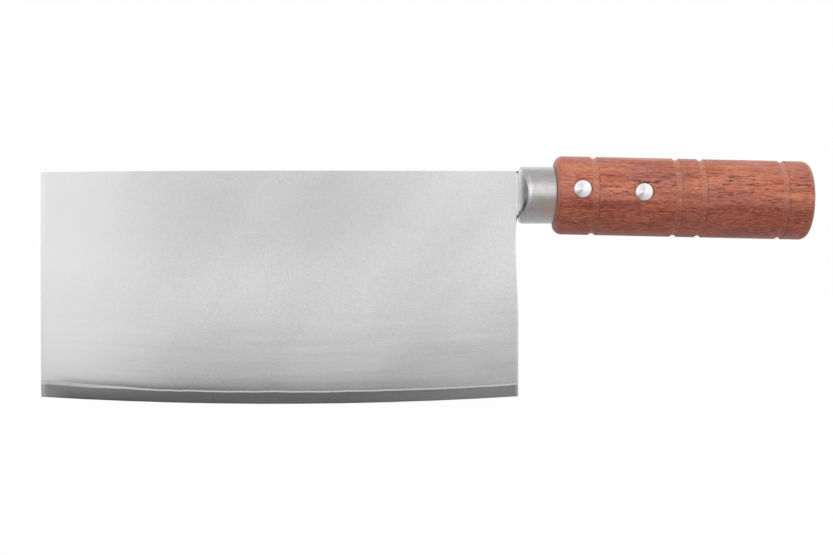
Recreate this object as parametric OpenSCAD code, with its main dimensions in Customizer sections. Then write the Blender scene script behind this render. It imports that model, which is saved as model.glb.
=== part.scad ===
// Chinese cleaver with a three-layer blade, a hollow steel bolster and a turned hardwood handle.
// X runs from the front of the blade to the butt, Z from the cutting edge to the spine.
// The blade's mid-plane is Y = 0, and the left side, as held in the right hand, faces -Y.
// The origin is under the middle of the whole length, level with the lowest point of the edge.

/* [Blade] */
// Length of the blade from its front edge to the heel
blade_len = 200; // [180:1:220]
// Height of the spine above the lowest point of the cutting edge
blade_h = 97.8; // [92:0.1:104]
// Thickness over all three layers, above the taper
blade_t = 2.2; // [1.8:0.1:2.6]
// Thickness of the hard middle layer
core_t = 0.8; // [0.5:0.1:1]
// Rise of the curved edge at the front of the blade
belly_rise = 2.96; // [1:0.01:5]
// Fall of the spine at the front of the blade
spine_fall = 0.65; // [0:0.05:1.5]
// Height above the edge at which the flats end and the convex grind starts
taper_h = 58; // [40:1:70]
// Height above the edge at which the cladding runs out
clad_h = 5; // [4:0.1:8]
// Width of the honed bevel along the edge
hone_w = 0.6; // [0.3:0.1:1]
// Depth of the relief in the heel, under the bolster
relief_depth = 1.15; // [0.4:0.05:2]

/* [Tang] */
// Length of the hidden tang behind the heel
tang_len = 70; // [62:1:80]
// Height of the tang where it leaves the blade
tang_root_h = 18; // [16:0.5:19]
// Height of the tang near its end
tang_end_h = 10; // [8:0.5:12]
// Amount ground off each face of the tang
tang_relief = 0.1; // [0.05:0.05:0.2]

/* [Bolster] */
// Outer diameter of the bolster
bolster_d = 23.8; // [22:0.1:26]
// Length of the bolster
bolster_len = 15.6; // [14:0.1:18]
// Wall thickness around the wood
bolster_wall = 1.3; // [1:0.1:2]
// Rise of the bolster above the spine
bolster_rise = 1.65; // [0.5:0.05:3]
// Radius of the rounded front, seen from above
nose_r = 9; // [7.6:0.1:10]
// Radius of the front's slight crown, seen from the side
nose_crown_r = 90; // [60:1:150]
// Thickness of the flange that hugs the blade, on each side
flange_t = 0.95; // [0.6:0.05:1.4]

/* [Handle] */
// Length of the handle behind the blade's bolster
handle_len = 106.6; // [95:0.1:120]
// Diameter of the handle
handle_d = 32.8; // [30:0.1:35]
// Angle at which the handle drops away from the line of the spine
handle_drop = 1.25; // [0:0.05:2]
// Radius that rounds the front of the handle
front_round = 3.7; // [3:0.1:5]
// Radius that rounds the butt
butt_round = 3.5; // [2:0.1:5]
// Width of each turned groove
groove_w = 3; // [1.5:0.1:4]
// Depth of each turned groove
groove_depth = 0.75; // [0.4:0.05:1]
// Distance from the front of the handle to the first groove
first_groove = 16.4; // [14:0.1:20]
// Distance from the front of the handle to the rear pair's front groove
pair_groove = 50.5; // [46:0.1:56]
// Distance between the two grooves of the pair
pair_gap = 10.3; // [8:0.1:12]
// Distance from the last groove to the butt
butt_band = 12.2; // [10:0.1:16]

/* [Rivets] */
// Diameter of the rivet heads
rivet_head_d = 7.1; // [6:0.1:8]
// Diameter of the recess around each head
recess_d = 7.8; // [7.4:0.1:8.6]
// Outer diameter of the rivet sleeves
sleeve_d = 5; // [4.5:0.1:5.4]
// Diameter of the studs that are pressed into the sleeves
stud_d = 3.4; // [3:0.1:3.6]
// Distance from the heel to the front rivet
front_rivet_x = 25.5; // [24:0.1:28]
// Distance from the heel to the rear rivet
rear_rivet_x = 50.7; // [46:0.1:54]
// Height of the front rivet above the middle of the bolster
front_rivet_rise = 1.8; // [0:0.1:2.5]
// Height of the rear rivet above the middle of the bolster
rear_rivet_rise = 0.55; // [0:0.05:2]

/* [Hidden] */
$fn = 96;

// Small gaps and overlaps that the fits share
gap = 0.1;
cut = 1;

// The edge is one arc, and the taper and the bevels are swung about the same centre
belly_x = 0.491 * blade_len;
belly_r = (pow(belly_x, 2) + pow(belly_rise, 2)) / (2 * belly_rise);
half_t = blade_t / 2;
half_core = core_t / 2;
hone_half = 0.12;
spine_r = belly_r - blade_h - 2;
belly_sweep = 2 * asin((blade_len - belly_x + 4) / spine_r);
belly_fn = 720;
grind_steps = 10;

// The spine is level to its high point and falls gently in front of it
spine_high_x = 0.55 * blade_len;
spine_steps = 10;

// Bolster, and the point where the handle's axis leaves it
bolster_r = bolster_d / 2;
bolster_z = blade_h + bolster_rise - bolster_r;
bolster_front = blade_len + gap;
bolster_rear = bolster_front + bolster_len;
bore_r = bolster_r - bolster_wall;
bore_front = bolster_front + 6;
nose_flat = 5;
nose_x = bolster_front + 0.3;
corner_r = 1.8;
rim_r = 0.5;
flange_y = half_t + flange_t;
flange_edge_r = 0.5;

// Handle
handle_r = handle_d / 2;
seat_depth = 1.1;
handle_x = bolster_rear - seat_depth;
groove_r = (pow(groove_w / 2, 2) + pow(groove_depth, 2)) / (2 * groove_depth);
grooves = [first_groove, pair_groove, pair_groove + pair_gap, handle_len - butt_band];
crown_r = 80;
seat_r = bolster_r + 2 * gap;

// The rearmost point is on the rounded upper rim of the butt
overall_len = handle_x + butt_round + (handle_len - butt_round) * cos(handle_drop)
    + (handle_r - butt_round) * sin(handle_drop);

// Rivet heads: where they seat, and how far their rims and crowns stand out
head_seat_y = 14.2;
head_rim_y = 15.3;
head_crown_y = 15.85;
sleeve_depth = 8;
head_r = rivet_head_d / 2;
crown_rise = head_crown_y - head_rim_y;
head_dome_r = (pow(head_r, 2) + pow(crown_rise, 2)) / (2 * crown_rise);

// Distance from the mid-plane to the ground face: a convex grind that leaves the flats without a line
function grind_y(h) = half_t - (half_t - half_core) * pow((taper_h - h) / (taper_h - clad_h), 2);

function spine_z(x) = blade_h - spine_fall * pow(max(0, spine_high_x - x) / spine_high_x, 2);

// Heel relief: nothing at the bottom, its full depth below the bolster, and a small gap under the flange
heel_gap = 0.35;
relief_bottom = bolster_z - 54;
relief_deep = bolster_z - 19;
relief_top = bolster_z - bolster_r + 2.4;
function relief(z) = z < relief_deep
    ? relief_depth * (1 - cos(180 * (z - relief_bottom) / (relief_deep - relief_bottom))) / 2
    : relief_depth - (relief_depth - heel_gap) * pow((z - relief_deep) / (relief_top - relief_deep), 2);

// Moves the whole object so that the origin is under the middle of its length
module placed() {
    translate([-overall_len / 2, 0, 0]) children();
}

// Stands a side view, drawn in X and Z, up as a plate between two distances from the mid-plane
module plate(from, to) {
    translate([0, -from, 0]) rotate([90, 0, 0]) linear_extrude(to - from) children();
}

// Swings a section, given as distance above the edge and distance to the left, about the belly's centre
module swing(section) {
    translate([belly_x, 0, belly_r]) rotate([90, 0, 0]) rotate([0, 0, -90 - belly_sweep / 2])
        rotate_extrude(angle = belly_sweep, $fn = belly_fn)
            polygon([for (p = section) [belly_r - p[0], p[1]]]);
}

// Side view of the blade: square front, gently falling spine, and a heel that is relieved at the top
module blade_outline() {
    relief_steps = 18;
    spine = [for (i = [0:spine_steps]) let (x = spine_high_x * i / spine_steps) [x, spine_z(x)]];
    heel_top = [[blade_len - 0.3, blade_h - 0.2], [blade_len, blade_h - 0.5], [blade_len, relief_top]];
    heel = [for (i = [0:relief_steps])
        let (z = relief_top + (relief_bottom - relief_top) * i / relief_steps) [blade_len - relief(z), z]];
    polygon(concat([[0, -cut]], spine, heel_top, heel, [[blade_len, -cut]]));
}

// Side view of the tang, grown by a clearance where a slot is cut for it
module tang_outline(grow) {
    root = tang_root_h / 2 + grow;
    end = tang_end_h / 2 + grow;
    end_x = blade_len + tang_len + grow;
    drop = (tang_len + blade_len - handle_x) * sin(handle_drop);
    chamfer = 2.5;
    translate([0, bolster_z]) polygon([
        [blade_len - 6, -root], [blade_len - 6, root], [blade_len + 4, root],
        [end_x - chamfer, end - drop], [end_x, end - drop - chamfer],
        [end_x, chamfer - end - drop], [end_x - chamfer, -end - drop], [blade_len + 4, -root]
    ]);
}

// Bores through the tang or the handle for both rivets
module rivet_bores(d) {
    for (p = [[front_rivet_x, front_rivet_rise], [rear_rivet_x, rear_rivet_rise]])
        translate([blade_len + p[0], 0, bolster_z + p[1]]) rotate([90, 0, 0])
            cylinder(h = handle_d + 2 * cut, d = d, center = true);
}

// One layer of the blade with its share of the tang
module layer(section, tang_from, tang_to) {
    difference() {
        union() {
            intersection() {
                swing(section);
                plate(-half_t - cut, half_t + cut) blade_outline();
            }
            plate(tang_from, tang_to) tang_outline(0);
        }
        rivet_bores(sleeve_d + 2 * gap);
    }
}

module blade_core() {
    top = blade_h + 2;
    section = [
        [top, -half_core], [top, half_core], [clad_h, half_core], [hone_w, hone_half],
        [0, 0], [hone_w, -hone_half], [clad_h, -half_core]
    ];
    color("dimgray") placed() layer(section, -half_core, half_core);
}

// Outer layer on the left, or on the right with side = -1
module cladding(side) {
    top = blade_h + 2;
    outer = half_t - tang_relief;
    ground = [for (i = [0:grind_steps])
        let (h = taper_h + (clad_h - taper_h) * i / grind_steps) [h, side * grind_y(h)]];
    section = concat([[top, side * half_core], [top, side * half_t]], ground);
    tang_from = side > 0 ? half_core : -outer;
    color("lightgray") placed() layer(section, tang_from, tang_from + outer - half_core);
}

module left_cladding() {
    cladding(1);
}

module right_cladding() {
    cladding(-1);
}

// Nose of the bolster: its rounded top view is swung on a large radius, which crowns the front
module nose() {
    translate([nose_x + nose_crown_r, 0, bolster_z]) rotate([90, 0, 0]) rotate_extrude($fn = 240)
        intersection() {
            union() {
                translate([0, -bolster_d]) square([nose_crown_r - nose_r, 2 * bolster_d]);
                translate([0, -nose_flat]) square([nose_crown_r, 2 * nose_flat]);
                for (y = [-nose_flat, nose_flat])
                    translate([nose_crown_r - nose_r, y]) circle(nose_r);
            }
            translate([0, -bolster_d]) square([nose_crown_r + cut, 2 * bolster_d]);
        }
}

// Top view of the flange that stands against the blade, with its edges eased
module flange_plan() {
    translate([bolster_front, flange_edge_r - flange_y])
        square([cut + nose_r, 2 * (flange_y - flange_edge_r)]);
    translate([bolster_front + flange_edge_r, -flange_y]) square([nose_r, 2 * flange_y]);
    for (y = [flange_edge_r - flange_y, flange_y - flange_edge_r])
        translate([bolster_front + flange_edge_r, y]) circle(flange_edge_r);
}

// Side view of the bolster with its rounded front corners
module bolster_side() {
    low = bolster_z - bolster_r - cut;
    height = bolster_d + 2 * cut;
    translate([bolster_front + corner_r, low]) square([bolster_len - corner_r, height]);
    translate([bolster_front - cut, bolster_z - bolster_r + corner_r])
        square([bolster_len, bolster_d - 2 * corner_r]);
    for (z = [corner_r - bolster_r, bolster_r - corner_r])
        translate([bolster_front + corner_r, bolster_z + z]) circle(corner_r);
}

// Cylindrical body of the bolster with its rear rim rounded
module barrel() {
    translate([bolster_rear, 0, bolster_z]) rotate([0, -90, 0]) rotate_extrude() {
        translate([0, rim_r]) square([bolster_r, bolster_len + cut - rim_r]);
        square([bolster_r - rim_r, bolster_len]);
        translate([bolster_r - rim_r, rim_r]) circle(rim_r);
    }
}

module bolster() {
    slot = half_t + gap / 2;
    color("silver") placed() difference() {
        intersection() {
            barrel();
            union() {
                nose();
                translate([0, 0, bolster_z - bolster_d]) linear_extrude(2 * bolster_d) flange_plan();
            }
            plate(-bolster_d, bolster_d) bolster_side();
        }
        translate([bore_front, 0, bolster_z]) rotate([0, 90, 0]) cylinder(h = bolster_len, r = bore_r);
        plate(-slot, slot) tang_outline(gap / 2);
    }
}

// Half section of the handle: distance from the axis, then distance from the front
module handle_section() {
    difference() {
        union() {
            square([handle_r - front_round, handle_len]);
            translate([0, front_round]) square([handle_r, handle_len - front_round - butt_round]);
            translate([0, handle_len - butt_round]) square([handle_r - butt_round, butt_round]);
            translate([handle_r - front_round, front_round]) circle(front_round);
            translate([handle_r - butt_round, handle_len - butt_round]) circle(butt_round);
        }
        for (a = grooves) translate([handle_r - groove_depth + groove_r, a]) circle(groove_r);
    }
}

// Takes the front of the handle back towards its sides, so that it is crowned across its width
module front_crown() {
    difference() {
        translate([-cut, -handle_r - cut, -handle_r - cut])
            cube([cut + 2.5, 2 * (handle_r + cut), 2 * (handle_r + cut)]);
        translate([crown_r, 0, 0]) cylinder(h = 2 * handle_d, r = crown_r, center = true, $fn = 240);
    }
}

// The handle's turned wood, with the spigot that fills the bolster
module turned_wood() {
    spigot_front = bore_front + 2 * gap;
    translate([handle_x, 0, bolster_z]) rotate([0, handle_drop, 0]) difference() {
        rotate([0, 90, 0]) rotate_extrude() handle_section();
        front_crown();
    }
    translate([spigot_front, 0, bolster_z]) rotate([0, 90, 0])
        cylinder(h = bolster_rear + 4 - spigot_front, r = bore_r - gap);
}

// Shallow seat for the bolster's rear rim
module bolster_seat() {
    translate([bolster_front, 0, bolster_z]) rotate([0, 90, 0]) difference() {
        cylinder(h = bolster_len + gap, r = seat_r);
        translate([0, 0, -cut]) cylinder(h = bolster_len + gap + 2 * cut, r = bore_r - gap);
    }
}

// Recesses for the four rivet heads
module head_recesses() {
    for (p = [[front_rivet_x, front_rivet_rise], [rear_rivet_x, rear_rivet_rise]])
        for (turn = [90, -90])
            translate([blade_len + p[0], 0, bolster_z + p[1]]) rotate([turn, 0, 0])
                translate([0, 0, head_seat_y]) cylinder(h = handle_r, d = recess_d);
}

module handle() {
    slot = half_t + gap;
    color("sienna") placed() difference() {
        turned_wood();
        bolster_seat();
        plate(-slot, slot) tang_outline(2 * gap);
        rivet_bores(sleeve_d + gap);
        head_recesses();
    }
}

// Rivet head, seated and slightly domed, on the +Z axis
module rivet_head() {
    intersection() {
        translate([0, 0, head_seat_y]) cylinder(h = head_crown_y, d = rivet_head_d);
        translate([0, 0, head_crown_y - head_dome_r]) sphere(head_dome_r);
    }
}

// Sleeve half: its tube runs through the tang and takes the stud
module rivet_sleeve(x, rise) {
    tube_end = -head_seat_y + sleeve_depth;
    color("gainsboro") placed() translate([blade_len + x, 0, bolster_z + rise]) rotate([90, 0, 0])
        difference() {
            union() {
                rivet_head();
                translate([0, 0, tube_end]) cylinder(h = head_seat_y - tube_end + 0.5, d = sleeve_d);
            }
            translate([0, 0, tube_end - cut]) cylinder(h = 2 * sleeve_depth, d = stud_d);
        }
}

// Stud half: its plain shank is pressed into the sleeve from the other side
module rivet_stud(x, rise) {
    shank_end = sleeve_depth - 3;
    color("gainsboro") placed() translate([blade_len + x, 0, bolster_z + rise]) rotate([-90, 0, 0])
        union() {
            rivet_head();
            translate([0, 0, -shank_end]) cylinder(h = head_seat_y + shank_end + 0.5, d = stud_d - 0.02);
        }
}

module front_rivet_sleeve() {
    rivet_sleeve(front_rivet_x, front_rivet_rise);
}

module front_rivet_stud() {
    rivet_stud(front_rivet_x, front_rivet_rise);
}

module rear_rivet_sleeve() {
    rivet_sleeve(rear_rivet_x, rear_rivet_rise);
}

module rear_rivet_stud() {
    rivet_stud(rear_rivet_x, rear_rivet_rise);
}

blade_core();
left_cladding();
right_cladding();
bolster();
handle();
front_rivet_sleeve();
front_rivet_stud();
rear_rivet_sleeve();
rear_rivet_stud();
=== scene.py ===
import math

import bpy
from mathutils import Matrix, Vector


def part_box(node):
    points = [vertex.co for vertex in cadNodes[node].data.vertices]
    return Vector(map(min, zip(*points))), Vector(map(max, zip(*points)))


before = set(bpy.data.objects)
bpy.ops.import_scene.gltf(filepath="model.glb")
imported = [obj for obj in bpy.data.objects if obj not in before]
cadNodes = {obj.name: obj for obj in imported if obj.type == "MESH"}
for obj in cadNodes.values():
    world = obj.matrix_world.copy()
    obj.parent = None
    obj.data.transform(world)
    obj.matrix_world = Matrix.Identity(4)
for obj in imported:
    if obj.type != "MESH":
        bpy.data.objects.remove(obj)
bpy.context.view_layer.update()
print("frame loaded:", len(cadNodes), "nodes")

# Places that the patterns need, all read off the frame
flangeGap = 0.0001              # between the blade's heel and the bolster's flange
coreLow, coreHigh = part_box("blade_core")
bolsterLow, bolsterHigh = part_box("bolster")
bolsterMiddle = (bolsterLow + bolsterHigh) / 2
bladeFront = coreLow.x
bladeHeel = bolsterLow.x - flangeGap
bladeLength = bladeHeel - bladeFront

# Node settings that many nodes share
smooth = {"interpolation_type": "SMOOTHSTEP"}
bySize = {"vector_type": "TEXTURE"}
plus = {"operation": "ADD"}
minus = {"operation": "SUBTRACT"}
times = {"operation": "MULTIPLY"}
timesPlus = {"operation": "MULTIPLY_ADD"}
power = {"operation": "POWER"}
larger = {"operation": "MAXIMUM"}
absolute = {"operation": "ABSOLUTE"}
scaled = {"operation": "SCALE"}
markHeight = 0.0001             # how high the marks in the steel and the wood stand in their bump


def linearColour(hexCode):
    # sRGB hex to the linear colour that a socket wants
    parts = [int(hexCode[i:i + 2], 16) / 255 for i in (0, 2, 4)]
    return tuple([c / 12.92 if c <= 0.04045 else ((c + 0.055) / 1.055) ** 2.4 for c in parts] + [1.0])


def addNode(tree, kind, settings=None, inputs=None):
    # a node with its settings; an input is a value, a socket, or a node whose first output is meant
    node = tree.nodes.new(kind)
    for name, value in (settings or {}).items():
        setattr(node, name, value)
    for name, value in (inputs or {}).items():
        if isinstance(value, bpy.types.Node):
            tree.links.new(value.outputs[0], node.inputs[name])
        elif isinstance(value, bpy.types.NodeSocket):
            tree.links.new(value, node.inputs[name])
        else:
            node.inputs[name].default_value = value
    return node


def between(span, offset=0):
    # the From inputs of a Map Range, for a span that starts at some offset
    return {"From Min": offset + span[0], "From Max": offset + span[1]}


def reaching(levels):
    # the To inputs of a Map Range
    return {"To Min": levels[0], "To Max": levels[1]}


def startMaterial(name):
    # an empty material with its output, and the object coordinates that its patterns read
    material = bpy.data.materials.new(name)
    material.use_nodes = True
    tree = material.node_tree
    tree.nodes.clear()
    output = addNode(tree, "ShaderNodeOutputMaterial")
    place = addNode(tree, "ShaderNodeTexCoord").outputs["Object"]
    return material, tree, output, place


def setStops(ramp, stops):
    # colour ramp stops as (position, hex)
    elements = ramp.color_ramp.elements
    while len(elements) < len(stops):
        elements.new(0.5)
    for element, (position, hexCode) in zip(elements, stops):
        element.position = position
        element.color = linearColour(hexCode)


def dress(nodeName, material):
    slots = cadNodes[nodeName].data.materials
    slots.clear()
    slots.append(material)


# Blade: both steels share one field, the distance above the arc of the edge
blade = {
    "bellyMiddle": 0.491,           # where the edge is lowest, as a share of the blade's length
    "bellyRise": 0.00296,           # rise of the edge at the front
    # clad line: its height above the edge and its half width
    "lineHeight": 0.0051,
    "lineFrontReach": 0.055,
    "lineFrontRise": 0.0012,        # what the height gains at the front
    "lineWave": 0.0007,
    "lineWaveLength": 0.0263,
    "lineWidth": 0.00032,
    "lineFrontWidth": 0.0005,       # what the half width gains at the front
    "lineFade": (1.25, 0.75),       # its sides fade over these shares of the half width
    "lineAtFront": 0.76,
    "lineHex": "e4e4e5",
    "layerStep": (0.0001, -0.0001),     # the cladding gives way to the core
    # shade: painted shade, darker towards the line, most in the middle
    "shadeReach": 0.048,
    "shadePower": 0.6,
    "shadeDeep": 0.17,
    "shadeFlat": 0.02,              # half length of its darkest stretch
    "shadeEnds": 0.4,               # share of it left at the front and the heel
    # line shade: painted shade, grey right above the line
    "lineShadeReach": 0.012,
    "lineShadePower": 2.5,
    "lineShadeDeep": 0.38,
    # rim shade: painted shade, darker still in the last few mm, on a stretch behind the front
    "rimShade": 0.34,
    "rimShadeSpan": (0.0038, 0.0003),
    "rimIn": (0.002, 0.014),
    "rimOut": (0.09, 0.035),
    # front: painted highlight, brighter, most of all low down
    "frontReach": 0.075,
    "frontLift": 0.1,
    "frontLiftSpan": (0.045, 0.02),
    # spine: painted shade, darker towards it, least at the heel
    "topShade": 0.25,
    "topFrom": 0.03,
    "topHeelReach": 0.075,
    "topAtHeel": 0.28,
    "topFrontReach": 0.12,
    "topAtFront": 0.7,
    # clouds of the polish, 95 mm long and 40 mm across, leaning as the wheel went
    "cloudSize": (0.095, 1, 0.04),
    "cloudLean": math.radians(-48),
    "cloudShift": (0.31, 0, 0.17),
    "cloudSpan": (0.36, 0.64),
    "cloudDeep": 0.8,
    # streaks that follow the edge, 50 mm long and 3 mm apart, stronger low on the blade
    "streakSize": (0.05, 0.00303),
    "streakSpan": (0.045, 0.012),
    "streakShare": (0.03, 0.55),
    # grind: very fine upright lines, drawn 0.36 mm apart to show
    "grindSize": (0.000357, 1, 0.0167),
    "grindShare": 0.03,
    # grit left by the last belt, drawn 0.7 mm coarse to show, stronger low on the blade
    "gritSize": 0.00069,
    "gritSpan": (0.08, 0.02),
    "gritShare": (0.28, 0.42),
    "calmFront": 0.2,               # share of streaks and grit left at the front
    # front edge and heel, eased with a stone: a painted highlight where they gleam a little
    "gleam": 0.45,
    "gleamFront": (0.0032, 0.0004),
    "gleamHeel": (-0.0015, -0.0004),
    # painted shadow in the corners where the flange meets the spine and the heel
    "cornerShadow": 0.85,
    "cornerSpan": (-0.0011, -0.0006),
    "cornerFoot": 0.0022,           # height of the lower spot above the bolster's lowest point
    "cornerSizes": (0.0016, 0.0020),
    "cornerCore": 0.3,
    # colours and finish
    "satinHex": "dededf",
    "satinDarkHex": "d0d0d1",
    "satinFrontHex": "e7e7e8",
    "coreHex": "7e7e7f",
    "coreEndHex": "9a9a9b",         # towards the front and the heel
    "coreTone": (0.97, 1.02),       # at the edge, and at the line
    "coreFoot": 0.45,               # darker at the edge behind the front
    "grainSpan": (0.94, 1.06),
    "roughness": (0.38, 0.32),
    "bump": 0.06,
}


def bladeFields(tree, place):
    # what the blade's patterns read: X and Z, the height above the arc of the edge,
    # and how near the front and how far from the middle a point is
    middleX = bladeFront + blade["bellyMiddle"] * bladeLength
    halfChord = middleX - bladeFront
    radius = (halfChord ** 2 + blade["bellyRise"] ** 2) / (2 * blade["bellyRise"])
    axes = addNode(tree, "ShaderNodeSeparateXYZ", None, {0: place})
    x, z = axes.outputs[0], axes.outputs[2]
    flat = addNode(tree, "ShaderNodeCombineXYZ", None, {0: x, 2: z})
    toCentre = addNode(tree, "ShaderNodeVectorMath", {"operation": "DISTANCE"}, {
        0: flat, 1: (middleX, 0, radius)})
    aboveEdge = addNode(tree, "ShaderNodeMath", minus, {0: radius, 1: toCentre.outputs["Value"]})
    nearFront = addNode(tree, "ShaderNodeMapRange", smooth, {
        "Value": x, **between((blade["lineFrontReach"], 0), bladeFront)})
    inFront = addNode(tree, "ShaderNodeMapRange", smooth, {
        "Value": x, **between((blade["frontReach"], 0), bladeFront)})
    fromMiddle = addNode(tree, "ShaderNodeMath", absolute, {
        0: addNode(tree, "ShaderNodeMath", minus, {0: x, 1: middleX})})
    shadeHere = addNode(tree, "ShaderNodeMapRange", smooth, {
        "Value": fromMiddle, **between((blade["shadeFlat"], halfChord)),
        **reaching((blade["shadeDeep"], blade["shadeDeep"] * blade["shadeEnds"]))})
    rimIn = addNode(tree, "ShaderNodeMapRange", smooth, {"Value": x, **between(blade["rimIn"], bladeFront)})
    rimOut = addNode(tree, "ShaderNodeMapRange", None, {"Value": x, **between(blade["rimOut"], bladeFront)})
    rimPart = addNode(tree, "ShaderNodeMath", times, {0: rimIn, 1: rimOut})
    return {"x": x, "z": z, "aboveEdge": aboveEdge, "nearFront": nearFront, "inFront": inFront,
            "shadeHere": shadeHere, "rimPart": rimPart}


def cladLine(tree, field):
    # the height above a line that waves slowly and ripples along X, and where that line is
    spot = addNode(tree, "ShaderNodeCombineXYZ", None, {0: field["x"]})
    noise = addNode(tree, "ShaderNodeTexNoise", None, {
        "Vector": spot, "Scale": 1 / blade["lineWaveLength"], "Detail": 3.5, "Roughness": 0.62})
    swing = addNode(tree, "ShaderNodeMath", minus, {0: noise, 1: 0.5})
    wave = addNode(tree, "ShaderNodeMath", timesPlus, {
        0: swing, 1: 2 * blade["lineWave"], 2: blade["lineHeight"]})
    height = addNode(tree, "ShaderNodeMath", timesPlus, {
        0: field["nearFront"], 1: blade["lineFrontRise"], 2: wave})
    aboveLine = addNode(tree, "ShaderNodeMath", minus, {0: field["aboveEdge"], 1: height})
    halfWidth = addNode(tree, "ShaderNodeMath", timesPlus, {
        0: field["nearFront"], 1: blade["lineFrontWidth"], 2: blade["lineWidth"]})
    offLine = addNode(tree, "ShaderNodeMath", absolute, {0: aboveLine})
    share = addNode(tree, "ShaderNodeMath", {"operation": "DIVIDE"}, {0: offLine, 1: halfWidth})
    onLine = addNode(tree, "ShaderNodeMapRange", smooth, {"Value": share, **between(blade["lineFade"])})
    return aboveLine, onLine


def bladeShade(tree, field, aboveLine):
    # brightness left by all the painted shades together, and by the painted highlight low at the front
    shadeLevel = addNode(tree, "ShaderNodeMapRange", None, {
        "Value": aboveLine, **between((0, blade["shadeReach"]))})
    shadeCurve = addNode(tree, "ShaderNodeMath", power, {0: shadeLevel, 1: blade["shadePower"]})
    shadeShare = addNode(tree, "ShaderNodeMath", minus, {0: 1.0, 1: shadeCurve})
    # painted shade, grey right above the line
    lineShadeLevel = addNode(tree, "ShaderNodeMapRange", None, {
        "Value": aboveLine, **between((blade["lineShadeReach"], 0))})
    lineShadeCurve = addNode(tree, "ShaderNodeMath", power, {0: lineShadeLevel, 1: blade["lineShadePower"]})
    withLineShade = addNode(tree, "ShaderNodeMath", timesPlus, {
        0: lineShadeCurve, 1: blade["lineShadeDeep"] / blade["shadeDeep"], 2: shadeShare})
    inShade = addNode(tree, "ShaderNodeMath", times, {0: withLineShade, 1: field["shadeHere"]})

    # painted highlight low on the blade near the front
    lift = addNode(tree, "ShaderNodeMapRange", smooth, {
        "Value": field["aboveEdge"], **between(blade["frontLiftSpan"]), "To Max": -blade["frontLift"]})
    lowFront = addNode(tree, "ShaderNodeMath", times, {0: field["inFront"], 1: lift})

    # painted shade towards the spine
    nearTop = addNode(tree, "ShaderNodeMapRange", smooth, {
        "Value": field["z"], **between((blade["topFrom"], coreHigh.z)), "To Max": blade["topShade"]})
    offHeel = addNode(tree, "ShaderNodeMapRange", smooth, {
        "Value": field["x"], **between((-blade["topHeelReach"], 0), bladeHeel),
        **reaching((1.0, blade["topAtHeel"]))})
    offFront = addNode(tree, "ShaderNodeMapRange", smooth, {
        "Value": field["x"], **between((0, blade["topFrontReach"]), bladeFront),
        **reaching((blade["topAtFront"], 1.0))})
    topPart = addNode(tree, "ShaderNodeMath", times, {0: offHeel, 1: offFront})
    inTop = addNode(tree, "ShaderNodeMath", times, {0: nearTop, 1: topPart})

    # painted shade in the last few mm, on a stretch behind the front
    rimLevel = addNode(tree, "ShaderNodeMapRange", smooth, {
        "Value": aboveLine, **between(blade["rimShadeSpan"]), "To Max": blade["rimShade"]})
    inRim = addNode(tree, "ShaderNodeMath", times, {0: rimLevel, 1: field["rimPart"]})
    left = 1.0
    for shade in (inShade, inTop, lowFront, inRim):
        left = addNode(tree, "ShaderNodeMath", minus, {0: left, 1: shade})
    return left


def bladeColour(tree, place, field, aboveLine, onLine):
    # cladding, core and the line between them, each with its own tones
    cloudSpot = addNode(tree, "ShaderNodeMapping", bySize, {
        "Vector": place, "Location": blade["cloudShift"], "Rotation": (0, blade["cloudLean"], 0),
        "Scale": blade["cloudSize"]})
    drift = addNode(tree, "ShaderNodeTexNoise", None, {
        "Vector": cloudSpot, "Scale": 1, "Detail": 2, "Roughness": 0.45})
    clouds = addNode(tree, "ShaderNodeMapRange", smooth, {
        "Value": drift, **between(blade["cloudSpan"]), "To Max": blade["cloudDeep"]})
    satin = addNode(tree, "ShaderNodeMixRGB", None, {
        "Fac": clouds, "Color1": linearColour(blade["satinHex"]),
        "Color2": linearColour(blade["satinDarkHex"])})
    # painted highlight: the satin is brighter towards the front
    bright = addNode(tree, "ShaderNodeMixRGB", None, {
        "Fac": field["inFront"], "Color1": satin, "Color2": linearColour(blade["satinFrontHex"])})
    # the painted shades and the painted highlight go into the cladding's colour
    cladding = addNode(tree, "ShaderNodeVectorMath", scaled, {
        0: bright, "Scale": bladeShade(tree, field, aboveLine)})

    nearEnds = addNode(tree, "ShaderNodeMapRange", None, {
        "Value": field["shadeHere"],
        **between((blade["shadeDeep"], blade["shadeDeep"] * blade["shadeEnds"]))})
    coreHue = addNode(tree, "ShaderNodeMixRGB", None, {
        "Fac": nearEnds, "Color1": linearColour(blade["coreHex"]),
        "Color2": linearColour(blade["coreEndHex"])})
    foot = addNode(tree, "ShaderNodeMath", timesPlus, {
        0: field["rimPart"], 1: -blade["coreFoot"], 2: blade["coreTone"][0]})
    coreTone = addNode(tree, "ShaderNodeMapRange", None, {
        "Value": field["aboveEdge"], **between((0, blade["lineHeight"])),
        **reaching((foot, blade["coreTone"][1]))})
    core = addNode(tree, "ShaderNodeVectorMath", scaled, {0: coreHue, "Scale": coreTone})

    lineTone = addNode(tree, "ShaderNodeMapRange", None, {
        "Value": field["nearFront"], **reaching((1.0, blade["lineAtFront"]))})
    line = addNode(tree, "ShaderNodeVectorMath", scaled, {
        0: linearColour(blade["lineHex"])[:3], "Scale": lineTone})
    onCore = addNode(tree, "ShaderNodeMapRange", None, {"Value": aboveLine, **between(blade["layerStep"])})
    layered = addNode(tree, "ShaderNodeMixRGB", None, {"Fac": onCore, "Color1": cladding, "Color2": core})
    lined = addNode(tree, "ShaderNodeMixRGB", None, {"Fac": onLine, "Color1": layered, "Color2": line})

    # painted highlight at the front edge and the heel
    gleams = [addNode(tree, "ShaderNodeMapRange", smooth, {
        "Value": field["x"], **between(blade[name], offset), "To Max": blade["gleam"]})
        for name, offset in (("gleamFront", bladeFront), ("gleamHeel", bladeHeel))]
    gleam = addNode(tree, "ShaderNodeMath", larger, {0: gleams[0], 1: gleams[1]})
    return addNode(tree, "ShaderNodeMixRGB", None, {
        "Fac": gleam, "Color1": lined, "Color2": linearColour(blade["lineHex"])})


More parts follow.
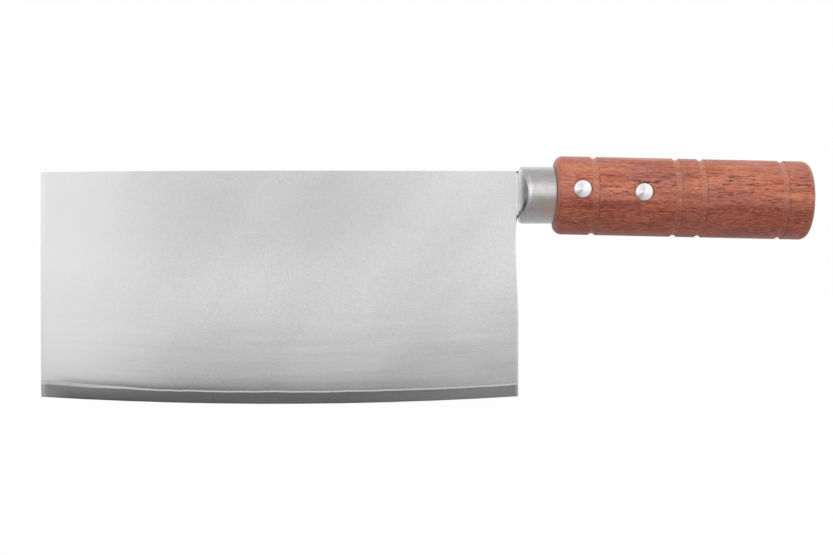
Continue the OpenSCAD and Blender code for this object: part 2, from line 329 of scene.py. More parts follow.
def bladeGrain(tree, place, field):
    # streaks, grit and grind: each one's swing about its middle, added up round 1
    along = addNode(tree, "ShaderNodeMath", times, {0: field["x"], 1: 1 / blade["streakSize"][0]})
    above = addNode(tree, "ShaderNodeMath", times, {0: field["aboveEdge"], 1: 1 / blade["streakSize"][1]})
    streakSpot = addNode(tree, "ShaderNodeCombineXYZ", None, {0: along, 2: above})
    streaks = addNode(tree, "ShaderNodeTexNoise", None, {
        "Vector": streakSpot, "Scale": 1, "Detail": 3, "Roughness": 0.55})
    streakShare = addNode(tree, "ShaderNodeMapRange", None, {
        "Value": field["aboveEdge"], **between(blade["streakSpan"]), **reaching(blade["streakShare"])})
    grit = addNode(tree, "ShaderNodeTexNoise", None, {
        "Vector": place, "Scale": 1 / blade["gritSize"], "Detail": 2, "Roughness": 0.7})
    gritShare = addNode(tree, "ShaderNodeMapRange", None, {
        "Value": field["aboveEdge"], **between(blade["gritSpan"]), **reaching(blade["gritShare"])})
    calm = addNode(tree, "ShaderNodeMapRange", None, {
        "Value": field["inFront"], **reaching((1.0, blade["calmFront"]))})
    streaksHere = addNode(tree, "ShaderNodeMath", times, {0: streakShare, 1: calm})
    gritHere = addNode(tree, "ShaderNodeMath", times, {0: gritShare, 1: calm})
    grindSpot = addNode(tree, "ShaderNodeMapping", bySize, {"Vector": place, "Scale": blade["grindSize"]})
    grind = addNode(tree, "ShaderNodeTexNoise", None, {
        "Vector": grindSpot, "Scale": 1, "Detail": 2, "Roughness": 0.5})
    grainTone = 1.0
    for pattern, share in ((streaks, streaksHere), (grit, gritHere), (grind, blade["grindShare"])):
        swing = addNode(tree, "ShaderNodeMath", minus, {0: pattern, 1: 0.5})
        grainTone = addNode(tree, "ShaderNodeMath", timesPlus, {0: swing, 1: share, 2: grainTone})
    return grainTone, grind


def offCorners(tree, field):
    # brightness left by the two painted shadows in the corners at the flange
    atHeel = addNode(tree, "ShaderNodeMapRange", None, {
        "Value": field["x"], **between(blade["cornerSpan"], bladeHeel)})
    offTop = addNode(tree, "ShaderNodeMath", minus, {0: coreHigh.z, 1: field["z"]})
    offFoot = addNode(tree, "ShaderNodeMath", absolute, {
        0: addNode(tree, "ShaderNodeMath", minus, {0: field["z"], 1: bolsterLow.z + blade["cornerFoot"]})})
    spots = [addNode(tree, "ShaderNodeMapRange", smooth, {
        "Value": away, **between((size, size * blade["cornerCore"])), "To Max": blade["cornerShadow"]})
        for away, size in zip((offTop, offFoot), blade["cornerSizes"])]
    corner = addNode(tree, "ShaderNodeMath", larger, {0: spots[0], 1: spots[1]})
    inCorner = addNode(tree, "ShaderNodeMath", times, {0: corner, 1: atHeel})
    return addNode(tree, "ShaderNodeMath", minus, {0: 1.0, 1: inCorner})


def bladeMaterial(name):
    # Stainless san mai, satin ground: soft tone drifts, fine upright grind lines,
    # and a pale wavy line where the softer cladding runs out over the darker core
    material, tree, output, place = startMaterial(name)
    field = bladeFields(tree, place)
    aboveLine, onLine = cladLine(tree, field)
    colour = bladeColour(tree, place, field, aboveLine, onLine)
    grainTone, grind = bladeGrain(tree, place, field)
    toned = addNode(tree, "ShaderNodeVectorMath", scaled, {0: colour, "Scale": grainTone})
    # painted shadow in the corners at the flange
    shadowedInCorners = addNode(tree, "ShaderNodeVectorMath", scaled, {0: toned, "Scale": offCorners(tree, field)})
    rough = addNode(tree, "ShaderNodeMapRange", None, {
        "Value": grainTone, **between(blade["grainSpan"]), **reaching(blade["roughness"])})
    bump = addNode(tree, "ShaderNodeBump", None, {
        "Strength": blade["bump"], "Distance": markHeight, "Height": grind})
    shader = addNode(tree, "ShaderNodeBsdfPrincipled", None, {
        "Base Color": shadowedInCorners, "Metallic": 1.0, "Roughness": rough, "Normal": bump})
    tree.links.new(shader.outputs[0], output.inputs["Surface"])
    return material


bladeSteel = bladeMaterial("laminated_stainless_steel")
for nodeName in ("blade_core", "left_cladding", "right_cladding"):
    dress(nodeName, bladeSteel)
print("blade dressed")

# Bolster: stainless cap
bolster = {
    "steelHex": "cecbcd",
    "steelDarkHex": "afacad",
    "brushSize": (0.008, 0.0003, 0.0003),   # length and spacing of the brush lines
    "blotchSize": 0.00385,
    "toneSpan": (0.65, 1.35),       # of brush lines and blotches together
    "roughness": (0.3, 0.42),
    "bump": 0.08,
    # the nose meets the flange along an arc, its middle given from the rim and the axis
    "arcMiddle": (-0.0148, 0.0021),
    "arcRadius": 0.0181,
    # painted shadow in the crease on the arc, then painted highlight on the ridge: distance outside it,
    # half width, tone, and the middle and half height of the part that shows it
    "rings": ((0.0, 0.0010, -0.68, -0.0095, 0.0068), (0.0012, 0.0011, 0.3, -0.001, 0.0085)),
    "ringCore": 0.2,
    "ringEnds": 0.45,
    # painted highlight on the front rim of the flange, down to its lower corner
    "rimBright": 0.55,
    "rimSpan": (0.0017, 0.0003),
    "rimFoot": (-0.0105, -0.008),
    # painted reflection of the brown wood, low at the back
    "castHex": "ceb7ab",
    "castRise": -0.0055,
    "castHeight": (0.005, 0.0008),
    "castSpan": (-0.003, 0.003),
    "castShare": 0.8,
    "easedEdge": 0.0011,            # radius of the softened crease
    "easedSpan": (0.0028, 0.0038),  # it starts behind the flange's own edge
}


def bolsterTone(tree, axes):
    # painted shadow in the crease, and painted highlights on the ridge and the rim
    arcX = bolsterLow.x + bolster["arcMiddle"][0]
    arcZ = bolsterMiddle.z + bolster["arcMiddle"][1]
    flat = addNode(tree, "ShaderNodeCombineXYZ", None, {0: axes.outputs[0], 2: axes.outputs[2]})
    toMiddle = addNode(tree, "ShaderNodeVectorMath", {"operation": "DISTANCE"}, {
        0: flat, 1: (arcX, 0, arcZ)})
    tone = 1.0
    for outside, halfWidth, amount, middle, halfHeight in bolster["rings"]:
        offRing = addNode(tree, "ShaderNodeMath", absolute, {
            0: addNode(tree, "ShaderNodeMath", minus, {
                0: toMiddle.outputs["Value"], 1: bolster["arcRadius"] + outside})})
        ring = addNode(tree, "ShaderNodeMapRange", smooth, {
            "Value": offRing, **between((halfWidth, halfWidth * bolster["ringCore"])), "To Max": amount})
        offPart = addNode(tree, "ShaderNodeMath", absolute, {
            0: addNode(tree, "ShaderNodeMath", minus, {0: axes.outputs[2], 1: arcZ + middle})})
        part = addNode(tree, "ShaderNodeMapRange", smooth, {
            "Value": offPart, **between((halfHeight, halfHeight * bolster["ringEnds"]))})
        tone = addNode(tree, "ShaderNodeMath", timesPlus, {0: ring, 1: part, 2: tone})
    # painted highlight on the flange's front rim
    onRim = addNode(tree, "ShaderNodeMapRange", smooth, {
        "Value": axes.outputs[0], **between(bolster["rimSpan"], bolsterLow.x),
        "To Max": bolster["rimBright"]})
    rimPart = addNode(tree, "ShaderNodeMapRange", smooth, {
        "Value": axes.outputs[2], **between(bolster["rimFoot"], arcZ)})
    rimTone = addNode(tree, "ShaderNodeMath", timesPlus, {0: onRim, 1: rimPart, 2: 1.0})
    return addNode(tree, "ShaderNodeMath", times, {0: tone, 1: rimTone})


def bolsterMaterial():
    # Stainless, brushed along the handle: fine straight lines, broad soft reflections, softened creases
    material, tree, output, place = startMaterial("brushed_stainless_steel")
    axes = addNode(tree, "ShaderNodeSeparateXYZ", None, {0: place})
    brushSpot = addNode(tree, "ShaderNodeMapping", bySize, {"Vector": place, "Scale": bolster["brushSize"]})
    brushed = addNode(tree, "ShaderNodeTexNoise", None, {
        "Vector": brushSpot, "Scale": 1, "Detail": 3, "Roughness": 0.6})
    blotch = addNode(tree, "ShaderNodeTexNoise", None, {
        "Vector": place, "Scale": 1 / bolster["blotchSize"], "Detail": 3, "Roughness": 0.55})
    both = addNode(tree, "ShaderNodeMath", plus, {0: brushed, 1: blotch})
    toneShare = addNode(tree, "ShaderNodeMapRange", None, {"Value": both, **between(bolster["toneSpan"])})
    steel = addNode(tree, "ShaderNodeMixRGB", None, {
        "Fac": toneShare, "Color1": linearColour(bolster["steelDarkHex"]),
        "Color2": linearColour(bolster["steelHex"])})

    # painted reflection of the wood, low at the back
    offCast = addNode(tree, "ShaderNodeMath", absolute, {
        0: addNode(tree, "ShaderNodeMath", minus, {
            0: axes.outputs[2], 1: bolsterMiddle.z + bolster["castRise"]})})
    castLevel = addNode(tree, "ShaderNodeMapRange", smooth, {
        "Value": offCast, **between(bolster["castHeight"]), "To Max": bolster["castShare"]})
    castBack = addNode(tree, "ShaderNodeMapRange", smooth, {
        "Value": axes.outputs[0], **between(bolster["castSpan"], bolsterMiddle.x)})
    castShare = addNode(tree, "ShaderNodeMath", times, {0: castLevel, 1: castBack})
    cast = addNode(tree, "ShaderNodeMixRGB", None, {
        "Fac": castShare, "Color1": steel, "Color2": linearColour(bolster["castHex"])})
    # painted shadow in the crease and painted highlights on the ridge and the rim
    shadedAndLit = addNode(tree, "ShaderNodeVectorMath", scaled, {0: cast, "Scale": bolsterTone(tree, axes)})

    plain = addNode(tree, "ShaderNodeNewGeometry").outputs["Normal"]
    eased = addNode(tree, "ShaderNodeBevel", {"samples": 6}, {"Radius": bolster["easedEdge"]})
    behindFlange = addNode(tree, "ShaderNodeMapRange", None, {
        "Value": axes.outputs[0], **between(bolster["easedSpan"], bolsterLow.x)})
    toEased = addNode(tree, "ShaderNodeVectorMath", minus, {0: eased, 1: plain})
    partEased = addNode(tree, "ShaderNodeVectorMath", scaled, {0: toEased, "Scale": behindFlange})
    normal = addNode(tree, "ShaderNodeVectorMath", plus, {0: plain, 1: partEased})
    bump = addNode(tree, "ShaderNodeBump", None, {
        "Strength": bolster["bump"], "Distance": markHeight, "Height": brushed, "Normal": normal})
    rough = addNode(tree, "ShaderNodeMapRange", None, {
        "Value": both, **between(bolster["toneSpan"]), **reaching(bolster["roughness"])})
    shader = addNode(tree, "ShaderNodeBsdfPrincipled", None, {
        "Base Color": shadedAndLit, "Metallic": 1.0, "Roughness": rough, "Normal": bump})
    tree.links.new(shader.outputs[0], output.inputs["Surface"])
    return material


dress("bolster", bolsterMaterial())
print("bolster dressed")

# Rivets: stainless heads with a spun face
rivet = {
    # the faint pink in these steels is a painted reflection of the wood
    "steelHex": "f6f2f4",
    "steelDarkHex": "969292",
    "ringStep": 0.00022,            # turning marks
    "ringShare": 0.5,
    "plainTone": 0.66,
    # dark fans of painted shade, for the bow tie of the spun face: direction in degrees from +X up,
    # sharpness, depth
    "shadeFans": ((222, 12, 0.6), (255, 4, 0.2), (118, 2, 0.42)),
    "roughness": (0.24, 0.36),
    "anisotropic": 0.3,
    "dome": 0.35,                   # share of the head's crown that the spun face keeps
    "bump": 0.1,
}


def rivetMaterial(name, centre):
    # Stainless faced on a lathe: rings round the middle; the anisotropy fans the light out a little, and
    # the rest of the bow tie is painted shade
    material, tree, output, place = startMaterial(name)
    fromAxis = addNode(tree, "ShaderNodeVectorMath", minus, {0: place, 1: tuple(centre)})
    flat = addNode(tree, "ShaderNodeVectorMath", times, {0: fromAxis, 1: (1, 0, 1)})
    reach = addNode(tree, "ShaderNodeVectorMath", {"operation": "LENGTH"}, {0: flat})
    tangent = addNode(tree, "ShaderNodeVectorMath", {"operation": "NORMALIZE"}, {0: flat})
    ringSpot = addNode(tree, "ShaderNodeCombineXYZ", None, {0: reach.outputs["Value"]})
    rings = addNode(tree, "ShaderNodeTexNoise", None, {
        "Vector": ringSpot, "Scale": 1 / rivet["ringStep"], "Detail": 2, "Roughness": 0.6})
    tone = rivet["plainTone"]
    # painted shade in dark fans round the head
    for lean, sharpness, depth in rivet["shadeFans"]:
        towards = addNode(tree, "ShaderNodeVectorMath", {"operation": "DOT_PRODUCT"}, {
            0: tangent, 1: (math.cos(math.radians(lean)), 0, math.sin(math.radians(lean)))})
        onSide = addNode(tree, "ShaderNodeMath", larger, {0: towards.outputs["Value"], 1: 0})
        shadeFan = addNode(tree, "ShaderNodeMath", power, {0: onSide, 1: sharpness})
        tone = addNode(tree, "ShaderNodeMath", timesPlus, {0: shadeFan, 1: -depth, 2: tone})
    ringTone = addNode(tree, "ShaderNodeMath", timesPlus, {0: rings, 1: rivet["ringShare"], 2: tone})
    colour = addNode(tree, "ShaderNodeMixRGB", None, {
        "Fac": ringTone, "Color1": linearColour(rivet["steelDarkHex"]),
        "Color2": linearColour(rivet["steelHex"])})
    rough = addNode(tree, "ShaderNodeMapRange", None, {"Value": rings, **reaching(rivet["roughness"])})
    crowned = addNode(tree, "ShaderNodeNewGeometry").outputs["Normal"]
    flatter = addNode(tree, "ShaderNodeVectorMath", times, {
        0: crowned, 1: (rivet["dome"], 1, rivet["dome"])})
    faced = addNode(tree, "ShaderNodeVectorMath", {"operation": "NORMALIZE"}, {0: flatter})
    bump = addNode(tree, "ShaderNodeBump", None, {
        "Strength": rivet["bump"], "Distance": markHeight, "Height": rings, "Normal": faced})
    shader = addNode(tree, "ShaderNodeBsdfPrincipled", None, {
        "Base Color": colour, "Metallic": 1.0, "Roughness": rough, "Anisotropic": rivet["anisotropic"],
        "Tangent": tangent, "Normal": bump})
    tree.links.new(shader.outputs[0], output.inputs["Surface"])
    return material


for end in ("front", "rear"):
    low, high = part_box(end + "_rivet_sleeve")
    spunSteel = rivetMaterial("spun_stainless_steel_" + end, (low + high) / 2)
    dress(end + "_rivet_sleeve", spunSteel)
    dress(end + "_rivet_stud", spunSteel)
print("rivets dressed")

# Handle: reddish hardwood, turned and sanded
handle = {
    "drop": math.radians(1.25),
    # slow bends of the grain, so that no streak is dead straight
    "bendSize": (0.0357, 0.0167, 0.0167),
    "bendBy": (0, 0.0017, 0.0017),
    # figure: sizes along the grain and across it
    "ribbonSize": (0.040, 0.004, 0.004),
    "streakSize": (0.0167, 0.000714, 0.000714),
    "fibreSize": (0.00263, 0.000417, 0.000417),
    "figureShares": (0.45, 0.55),   # of ribbons and streaks
    "figureStops": ((0.36, "964936"), (0.49, "d67353"), (0.62, "f19a75")),
    # broad zones that turn the hue and gather the pores
    "zoneSize": (0.03125, 0.00714, 0.00714),
    "zoneShift": (-0.0109, -0.00143, -0.00429),
    "mauveHex": "c87768",
    "mauveSpan": (0.4, 0.62),
    "mauveShare": 0.6,
    # pores: dashes 4 mm long, drawn 0.4 mm thick to show, crowded in a band above the axis
    "poreSize": (0.00435, 0.00037, 0.00037),
    "poreHex": "401a1e",
    "poreZones": (0.42, 0.62),
    "poreLevels": (0.72, 0.66),     # noise level that a pore needs, outside and inside a zone
    "poreEdge": 0.025,
    "poreMiddle": 0.0048,
    "poreBand": (0.0075, 0.003),
    "poreCrowd": 0.1,
    "poreFront": (0.003, 0.018),    # the rounded front end is sanded closed
    # painted shade: the figure darkens below the axis, with an edge that wanders along the grain
    "lowHex": "d3bcb5",
    "lowSpan": (0.003, -0.006),
    "lowWander": 0.012,
    # fibres: pale and dark, stronger where the figure is dark
    "fibreHex": "f7b598",
    "fibreDarkHex": "964936",
    "fibrePale": (0.52, 0.72),
    "fibreDark": (0.47, 0.3),
    "fibreShare": 0.6,
    "fibreLowShare": 0.5,
    # grooves, from the front of the wood: paler cut fibre, and a painted shadow line at the rear edge
    "grooves": (0.0164, 0.0505, 0.0608, 0.0944),
    "grooveHex": "e8ab96",
    "grooveHalf": 0.0015,
    "grooveCore": 0.8,
    "grooveShare": 0.26,
    "edgeShadowPlace": 0.9,              # as a share of the half width
    "edgeShadowWidth": (0.00022, 0.000088),
    "edgeShadowShare": 0.6,
    "edgeShadowSize": (0.1, 0.003125, 0.003125),     # the line comes and goes
    "edgeShadowSpan": (0.42, 0.58),
    "grooveSpan": (0.05, 0.25),     # groove share over which the pores fade
    "groovePores": 0.4,
    # seat round the bolster, a painted shadow in the gap
    "seatShadowHex": "572722",
    "seatDepth": 0.0011,            # how far the bolster goes into the wood
    "seatRadius": 0.0122,
    "seatRim": (0, -0.0003),
    "seatFloor": (0.0003, 0.0001),
    # finish
    "roughness": (0.5, 0.64),
    "roughSpan": (0.3, 0.7),
    "sheen": 0.2,
    "sheenRoughness": 0.45,
    "bump": 0.35,
}


def grainNoise(tree, grain, size, detail, roughness):
    spot = addNode(tree, "ShaderNodeMapping", bySize, {"Vector": grain, "Scale": size})
    return addNode(tree, "ShaderNodeTexNoise", None, {
        "Vector": spot, "Scale": 1, "Detail": detail, "Roughness": roughness})


def poreMask(tree, grain, axes, zones):
    # short dashes where the noise passes a level, which drops in the zones and near the band
    field = grainNoise(tree, grain, handle["poreSize"], 2, 0.55)
    level = addNode(tree, "ShaderNodeMapRange", None, {
        "Value": zones, **between(handle["poreZones"]), **reaching(handle["poreLevels"])})
    offBand = addNode(tree, "ShaderNodeMath", absolute, {
        0: addNode(tree, "ShaderNodeMath", minus, {0: axes.outputs[2], 1: handle["poreMiddle"]})})
    inBand = addNode(tree, "ShaderNodeMapRange", smooth, {
        "Value": offBand, **between(handle["poreBand"]), "To Max": handle["poreCrowd"]})
    crowded = addNode(tree, "ShaderNodeMath", plus, {0: field, 1: inBand})
    over = addNode(tree, "ShaderNodeMath", minus, {0: crowded, 1: level})
    behindFront = addNode(tree, "ShaderNodeMapRange", None, {
        "Value": axes.outputs[0], **between(handle["poreFront"])})
    return addNode(tree, "ShaderNodeMapRange", None, {
        "Value": over, **between((0, handle["poreEdge"])), "To Max": behindFront})


def woodFigure(tree, ribbons, streaks, zones):
    # red to orange ribbon grain, with pinker zones
    streakPart = addNode(tree, "ShaderNodeMath", times, {0: streaks, 1: handle["figureShares"][1]})
    figure = addNode(tree, "ShaderNodeMath", timesPlus, {
        0: ribbons, 1: handle["figureShares"][0], 2: streakPart})
    wood = addNode(tree, "ShaderNodeValToRGB", None, {"Fac": figure})
    setStops(wood, handle["figureStops"])
    mauve = addNode(tree, "ShaderNodeMapRange", smooth, {
        "Value": zones, **between(handle["mauveSpan"]), "To Max": handle["mauveShare"]})
    return addNode(tree, "ShaderNodeMixRGB", None, {
        "Fac": mauve, "Color1": wood, "Color2": linearColour(handle["mauveHex"])})


def grooveMasks(tree, axes):
    # where the groove floors are, and the painted shadow line at each one's rear edge
    floors = 0.0
    lines = 0.0
    for groove in handle["grooves"]:
        off = addNode(tree, "ShaderNodeMath", minus, {0: axes.outputs[0], 1: groove})
        away = addNode(tree, "ShaderNodeMath", absolute, {0: off})
        inside = addNode(tree, "ShaderNodeMapRange", None, {
            "Value": away, **between((handle["grooveHalf"], handle["grooveHalf"] * handle["grooveCore"])),
            "To Max": handle["grooveShare"]})
        offEdge = addNode(tree, "ShaderNodeMath", absolute, {
            0: addNode(tree, "ShaderNodeMath", minus, {
                0: off, 1: handle["grooveHalf"] * handle["edgeShadowPlace"]})})
        line = addNode(tree, "ShaderNodeMapRange", None, {
            "Value": offEdge, **between(handle["edgeShadowWidth"]), "To Max": handle["edgeShadowShare"]})
        floors = addNode(tree, "ShaderNodeMath", larger, {0: floors, 1: inside})
        lines = addNode(tree, "ShaderNodeMath", larger, {0: lines, 1: line})
    return floors, lines


def seatShadowMask(tree, axes):
    # painted shadow where the bolster sits in the wood
    across = addNode(tree, "ShaderNodeCombineXYZ", None, {0: axes.outputs[1], 1: axes.outputs[2]})
    fromAxis = addNode(tree, "ShaderNodeVectorMath", {"operation": "LENGTH"}, {0: across})
    nearBore = addNode(tree, "ShaderNodeMapRange", None, {
        "Value": fromAxis.outputs["Value"], **between(handle["seatRim"], handle["seatRadius"])})
    nearFloor = addNode(tree, "ShaderNodeMapRange", None, {
        "Value": axes.outputs[0], **between(handle["seatFloor"], handle["seatDepth"])})
    return addNode(tree, "ShaderNodeMath", times, {0: nearBore, 1: nearFloor})


def woodMaterial():
    # Rosewood-like hardwood: straight ribbon grain, short dark pore dashes, pale fibres, dull sanded sheen
    material, tree, output, place = startMaterial("sanded_red_hardwood")
    # grain frame: X along the handle's axis from the front of the wood
    front = (bolsterHigh.x - handle["seatDepth"], 0, bolsterMiddle.z)
    along = addNode(tree, "ShaderNodeMapping", bySize, {
        "Vector": place, "Location": front, "Rotation": (0, handle["drop"], 0)})
    axes = addNode(tree, "ShaderNodeSeparateXYZ", None, {0: along})
    bend = grainNoise(tree, along, handle["bendSize"], 2, 0.5)
    bendOff = addNode(tree, "ShaderNodeVectorMath", minus, {0: bend.outputs["Color"], 1: (0.5, 0.5, 0.5)})
    bendBy = addNode(tree, "ShaderNodeVectorMath", times, {0: bendOff, 1: handle["bendBy"]})
    grain = addNode(tree, "ShaderNodeVectorMath", plus, {0: along, 1: bendBy})

    ribbons = grainNoise(tree, grain, handle["ribbonSize"], 2, 0.5)
    streaks = grainNoise(tree, grain, handle["streakSize"], 3, 0.6)
    fibres = grainNoise(tree, grain, handle["fibreSize"], 2, 0.6)
    shifted = addNode(tree, "ShaderNodeVectorMath", minus, {0: grain, 1: handle["zoneShift"]})
    zones = grainNoise(tree, shifted, handle["zoneSize"], 2, 0.5)
    pores = poreMask(tree, grain, axes, zones)
    figure = woodFigure(tree, ribbons, streaks, zones)

    wander = addNode(tree, "ShaderNodeMath", timesPlus, {
        0: ribbons, 1: handle["lowWander"], 2: -handle["lowWander"] / 2})
    level = addNode(tree, "ShaderNodeMath", plus, {0: axes.outputs[2], 1: wander})
    low = addNode(tree, "ShaderNodeMapRange", smooth, {"Value": level, **between(handle["lowSpan"])})
    fibreShare = addNode(tree, "ShaderNodeMath", timesPlus, {
        0: low, 1: handle["fibreLowShare"], 2: handle["fibreShare"]})
    colour = figure
    for span, hexCode in ((handle["fibrePale"], handle["fibreHex"]),
                          (handle["fibreDark"], handle["fibreDarkHex"])):
        share = addNode(tree, "ShaderNodeMapRange", None, {
            "Value": fibres, **between(span), "To Max": fibreShare})
        colour = addNode(tree, "ShaderNodeMixRGB", None, {
            "Fac": share, "Color1": colour, "Color2": linearColour(hexCode)})

    floors, lines = grooveMasks(tree, axes)
    grooved = addNode(tree, "ShaderNodeMixRGB", None, {
        "Fac": floors, "Color1": colour, "Color2": linearColour(handle["grooveHex"])})
    # painted shade below the axis
    lowered = addNode(tree, "ShaderNodeMixRGB", {"blend_type": "MULTIPLY"}, {
        "Fac": low, "Color1": grooved, "Color2": linearColour(handle["lowHex"])})
    # painted shadow line at each groove's rear edge, which comes and goes
    edgeShadowNoise = grainNoise(tree, along, handle["edgeShadowSize"], 2, 0.5)
    edgeShadowHere = addNode(tree, "ShaderNodeMapRange", None, {"Value": edgeShadowNoise, **between(handle["edgeShadowSpan"])})
    linesHere = addNode(tree, "ShaderNodeMath", times, {0: lines, 1: edgeShadowHere})
    offGroove = addNode(tree, "ShaderNodeMapRange", None, {
        "Value": floors, **between(handle["grooveSpan"]), **reaching((1.0, handle["groovePores"]))})
    poresHere = addNode(tree, "ShaderNodeMath", times, {0: pores, 1: offGroove})
    # real pores and the painted shadow lines, both in the pores' colour
    marks = addNode(tree, "ShaderNodeMath", larger, {0: poresHere, 1: linesHere})
    marked = addNode(tree, "ShaderNodeMixRGB", None, {
        "Fac": marks, "Color1": lowered, "Color2": linearColour(handle["poreHex"])})
    # painted shadow in the seat round the bolster
    seatShaded = addNode(tree, "ShaderNodeMixRGB", None, {
        "Fac": seatShadowMask(tree, axes), "Color1": marked, "Color2": linearColour(handle["seatShadowHex"])})

    height = addNode(tree, "ShaderNodeMath", minus, {0: fibres, 1: pores})
    bump = addNode(tree, "ShaderNodeBump", None, {
        "Strength": handle["bump"], "Distance": markHeight, "Height": height})
    rough = addNode(tree, "ShaderNodeMapRange", None, {
        "Value": streaks, **between(handle["roughSpan"]), **reaching(handle["roughness"])})
    shader = addNode(tree, "ShaderNodeBsdfPrincipled", None, {
        "Base Color": seatShaded, "Roughness": rough, "Normal": bump, "IOR": 1.5,
        "Sheen Weight": handle["sheen"], "Sheen Roughness": handle["sheenRoughness"]})
    tree.links.new(shader.outputs[0], output.inputs["Surface"])
    return material


dress("handle", woodMaterial())
print("handle dressed")

# Stage: pale floor, white surroundings, soft lamp
studio = {
    "floorSize": 8.0,
    "floorHex": "fcfcfb",           # to the camera
    "floorBounceHex": "cacac9",     # to the light that the floor throws back
    "speckleSize": 0.0011,
    "speckleTone": (0.98, 1.0),
    "floorWhite": 0.92,             # how much of the floor is plain white to the camera
    "whiteLevel": 1.02,
    "roomHex": "fefefe",            # the room to the camera
    "glossSpan": (-0.05, 0.1),      # Y of the floor in front of the object and behind it
    "floorGloss": (0.12, 0.72),     # how bright each is in reflections
    "roomStops": ((0.3, "707070"), (0.5, "ffffff"), (0.78, "ffffff"), (0.92, "c4c4c4")),
    "leftSpan": (-0.7, -0.97),
    "leftLevel": 0.25,              # dark end of the room, which draws the bolster's nose
    "behindSpan": (0.3, 0.75),
    "ambient": 0.95,                # light of the surroundings on the object
    "glossLevel": 1.3,
    "keyPower": 1.5,
    "keySize": 1.5,
    "keyShape": 0.7,                # height by width
    "keyPlace": (-0.45, -1.1, 0.62),
    "keyTarget": (0, 0, 0.06),
}


def straightRays(tree):
    # rays that show a thing to the camera, and the node that tells all kinds of ray apart
    rays = addNode(tree, "ShaderNodeLightPath")
    seen = addNode(tree, "ShaderNodeMath", larger, {
        0: rays.outputs["Is Camera Ray"], 1: rays.outputs["Is Transmission Ray"]})
    return rays, seen


def makeFloor():
    # Pale paper sweep: plain white to the eye, it keeps the object's shadow
    bpy.ops.object.select_all(action="DESELECT")
    bpy.ops.mesh.primitive_plane_add(size=studio["floorSize"], location=(0, 0, 0))
    floor = bpy.context.object
    floor.name = "floor"
    material, tree, output, place = startMaterial("pale_paper_floor")
    rays, seen = straightRays(tree)
    speckle = addNode(tree, "ShaderNodeTexNoise", None, {
        "Vector": place, "Scale": 1 / studio["speckleSize"], "Detail": 2})
    tone = addNode(tree, "ShaderNodeMapRange", None, {"Value": speckle, **reaching(studio["speckleTone"])})
    paper = addNode(tree, "ShaderNodeMixRGB", None, {
        "Fac": seen, "Color1": linearColour(studio["floorBounceHex"]),
        "Color2": linearColour(studio["floorHex"])})
    speckled = addNode(tree, "ShaderNodeVectorMath", scaled, {0: paper, "Scale": tone})
    matt = addNode(tree, "ShaderNodeBsdfDiffuse", None, {"Color": speckled})
    white = addNode(tree, "ShaderNodeEmission", None, {"Strength": studio["whiteLevel"]})
    axes = addNode(tree, "ShaderNodeSeparateXYZ", None, {0: place})
    glossShare = addNode(tree, "ShaderNodeMapRange", smooth, {
        "Value": axes.outputs[1], **between(studio["glossSpan"]), **reaching(studio["floorGloss"])})
    inGloss = addNode(tree, "ShaderNodeMath", times, {0: rays.outputs["Is Glossy Ray"], 1: glossShare})
    share = addNode(tree, "ShaderNodeMath", timesPlus, {0: seen, 1: studio["floorWhite"], 2: inGloss})
    mixed = addNode(tree, "ShaderNodeMixShader", None, {0: share, 1: matt, 2: white})
    tree.links.new(mixed.outputs[0], output.inputs["Surface"])
    floor.data.materials.append(material)


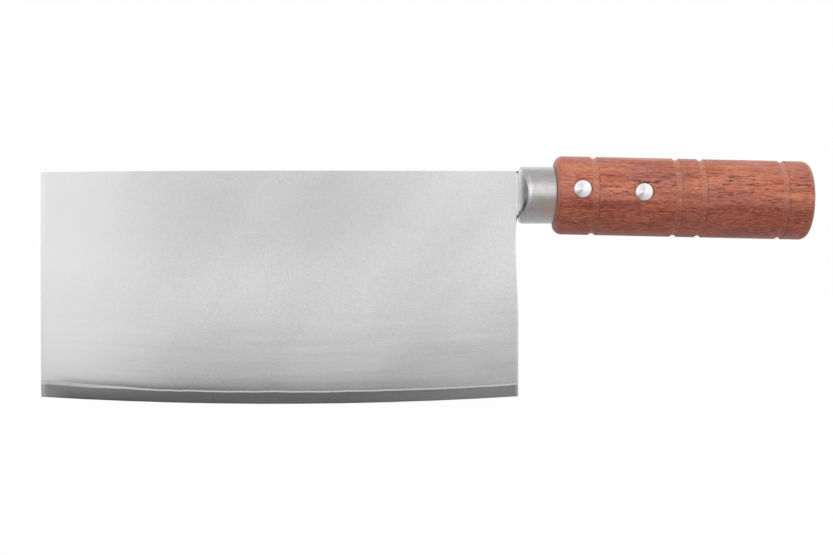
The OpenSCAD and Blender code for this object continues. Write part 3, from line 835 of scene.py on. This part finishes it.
def makeSurroundings():
    # a white room: darker at and under eye level in front of the object, with a dark left end
    world = bpy.data.worlds.new("studio")
    bpy.context.scene.world = world
    world.use_nodes = True
    tree = world.node_tree
    tree.nodes.clear()
    output = addNode(tree, "ShaderNodeOutputWorld")
    rays, seen = straightRays(tree)
    direction = addNode(tree, "ShaderNodeTexCoord").outputs["Generated"]
    axes = addNode(tree, "ShaderNodeSeparateXYZ", None, {0: direction})
    height = addNode(tree, "ShaderNodeMapRange", None, {"Value": axes.outputs[2], **between((-1, 1))})
    room = addNode(tree, "ShaderNodeValToRGB", None, {"Fac": height})
    setStops(room, studio["roomStops"])
    leftEnd = addNode(tree, "ShaderNodeMapRange", smooth, {
        "Value": axes.outputs[0], **between(studio["leftSpan"]), **reaching((1.0, studio["leftLevel"]))})
    walls = addNode(tree, "ShaderNodeVectorMath", scaled, {0: room, "Scale": leftEnd})
    behind = addNode(tree, "ShaderNodeMapRange", smooth, {
        "Value": axes.outputs[1], **between(studio["behindSpan"])})
    whole = addNode(tree, "ShaderNodeMixRGB", None, {
        "Fac": behind, "Color1": walls, "Color2": (1, 1, 1, 1)})
    ambient = addNode(tree, "ShaderNodeVectorMath", scaled, {0: whole, "Scale": studio["ambient"]})
    gloss = addNode(tree, "ShaderNodeVectorMath", scaled, {0: whole, "Scale": studio["glossLevel"]})
    lit = addNode(tree, "ShaderNodeMixRGB", None, {
        "Fac": rays.outputs["Is Glossy Ray"], "Color1": ambient, "Color2": gloss})
    shown = addNode(tree, "ShaderNodeMixRGB", None, {
        "Fac": seen, "Color1": lit, "Color2": linearColour(studio["roomHex"])})
    background = addNode(tree, "ShaderNodeBackground", None, {"Color": shown, "Strength": 1.0})
    tree.links.new(background.outputs[0], output.inputs["Surface"])


def makeLamp():
    data = bpy.data.lights.new("key_softbox", "AREA")
    data.shape = "RECTANGLE"
    data.size = studio["keySize"]
    data.size_y = studio["keySize"] * studio["keyShape"]
    data.energy = studio["keyPower"]
    lamp = bpy.data.objects.new("key_softbox", data)
    bpy.context.scene.collection.objects.link(lamp)
    lamp.location = studio["keyPlace"]
    aim = Vector(studio["keyTarget"]) - Vector(studio["keyPlace"])
    lamp.rotation_euler = aim.to_track_quat("-Z", "Y").to_euler()


makeFloor()
makeSurroundings()
makeLamp()
print("stage and lamp made")

# Camera: level with the middle of the blade, square to it, 630 mm away
view = {
    "imageSize": (833, 555),
    "pixelsPerMetre": 2384,
    "distance": 0.630,
    "bladeFrontPixel": 41.3,
    "edgePixel": 403.9,
    "sensorWidth": 36,
    "clip": (0.01, 50),
}


def makeCamera():
    data = bpy.data.cameras.new("camera")
    camera = bpy.data.objects.new("camera", data)
    bpy.context.scene.collection.objects.link(camera)
    width, height = view["imageSize"]
    perMetre = view["pixelsPerMetre"]
    data.sensor_width = view["sensorWidth"]
    data.lens = perMetre * view["distance"] * view["sensorWidth"] / width
    data.clip_start, data.clip_end = view["clip"]
    x = bladeFront + (width / 2 - view["bladeFrontPixel"]) / perMetre
    z = (view["edgePixel"] - height / 2) / perMetre
    camera.location = (x, -view["distance"], z)
    camera.rotation_euler = (math.radians(90), 0, 0)
    bpy.context.scene.camera = camera


makeCamera()
bpy.context.scene.view_settings.view_transform = "Standard"
print("camera placed")
